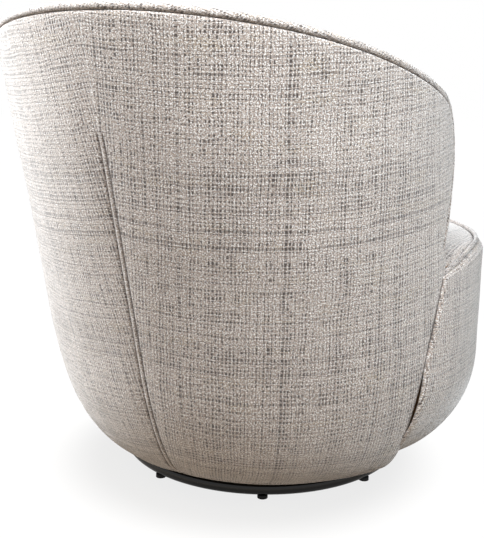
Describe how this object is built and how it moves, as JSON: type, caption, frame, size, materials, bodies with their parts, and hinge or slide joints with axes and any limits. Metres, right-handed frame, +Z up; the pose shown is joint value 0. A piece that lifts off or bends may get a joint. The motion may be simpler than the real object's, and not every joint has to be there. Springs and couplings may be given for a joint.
{
  "type": "swivel rocker chair",
  "caption": "Upholstered tub-shaped swivel rocker: wraparound back and arms around a deep crowned seat, on a sprung rocking unit and ball race over a round black tube base.",
  "frame": {"origin": "middle of the bounding box on the floor", "axes": "+Z up, +Y to the back of the chair, +X to the sitter's left; the swivel axis is vertical at x = 0, y = -0.0666 m"},
  "size_m": [0.796, 0.9185, 0.7988],
  "materials": {
    "base_enamel": "gloss black enamel",
    "plate_enamel": "satin black enamel",
    "glide_plastic": "matt black",
    "bush_plastic": "natural nylon",
    "steel": "bright zinc",
    "spring_steel": "dark oiled wire",
    "stop_rubber": "matt black",
    "frame_wood": "sawn, unfinished",
    "bent_board": "smooth fibreboard",
    "seat_felt": "pressed felt",
    "foam": "open-cell foam",
    "cover_fabric": "slubby tweed chenille, light greige with dark brown flecks",
    "dust_cloth": "black non-woven cambric"
  },
  "bodies": {
    "base": {"base_ring": "base_enamel", "foot_glides": "glide_plastic", "base_cross": "base_enamel", "hub_plate": "plate_enamel", "lower_bearing_plate": "plate_enamel", "plate_bolts": "steel", "lower_race": "steel", "king_pin": "steel", "lock_nut": "steel", "pin_washer": "steel"},
    "cage": {"ball_cage": "bush_plastic", "bearing_balls": "steel"},
    "swivel_unit": {"upper_race": "steel", "swivel_plate": "plate_enamel", "centre_bush": "bush_plastic", "pivot_brackets": "plate_enamel", "pivot_bushes": "bush_plastic", "lower_spring_cups": "plate_enamel", "stop_posts": "plate_enamel", "bump_stops": "stop_rubber", "rocker_springs_front": "spring_steel", "rocker_springs_rear": "spring_steel"},
    "seat": {"pivot_shaft": "steel", "hanger_plates": "plate_enamel", "shaft_collars": "steel", "mounting_plate": "plate_enamel", "upper_spring_cups": "plate_enamel", "mounting_bolts": "steel", "tee_nuts": "steel", "cross_rails": "frame_wood", "rail_blocks": "frame_wood", "bottom_board": "frame_wood", "board_screws": "steel", "lower_posts": "frame_wood", "lip_strip": "frame_wood", "seat_rail": "frame_wood", "top_rail": "frame_wood", "arm_posts": "frame_wood", "back_posts": "frame_wood", "shell_board": "bent_board", "zigzag_springs": "spring_steel", "spring_clips": "steel", "seat_insulator": "seat_felt", "seat_foam": "foam", "seat_top": "cover_fabric", "seat_welt": "cover_fabric", "front_apron": "cover_fabric", "apron_panel": "bent_board", "inside_back": "cover_fabric", "rim_roll": "cover_fabric", "rim_welt": "cover_fabric", "outside_cover_left": "cover_fabric", "outside_cover_right": "cover_fabric", "dust_cover": "dust_cloth"}
  },
  "joints": [
    {"name": "swivel", "type": "hinge", "parent": "base", "child": "swivel_unit", "pos_m": [0, -0.06659, 0.049], "axis": [0, 0, 1], "continuous": true},
    {"name": "cage_turn", "type": "hinge", "parent": "base", "child": "cage", "pos_m": [0, -0.06659, 0.039], "axis": [0, 0, 1], "continuous": true},
    {"name": "rock", "type": "hinge", "parent": "swivel_unit", "child": "seat", "pos_m": [0, -0.06659, 0.11], "axis": [1, 0, 0], "range_deg": [-5, 5], "stiffness_Nm_per_rad": 800, "deforming": ["rocker_springs_front", "rocker_springs_rear"]}
  ],
  "couplings": [
    {"joint": "cage_turn", "follows": "swivel", "ratio": 0.5}
  ]
}
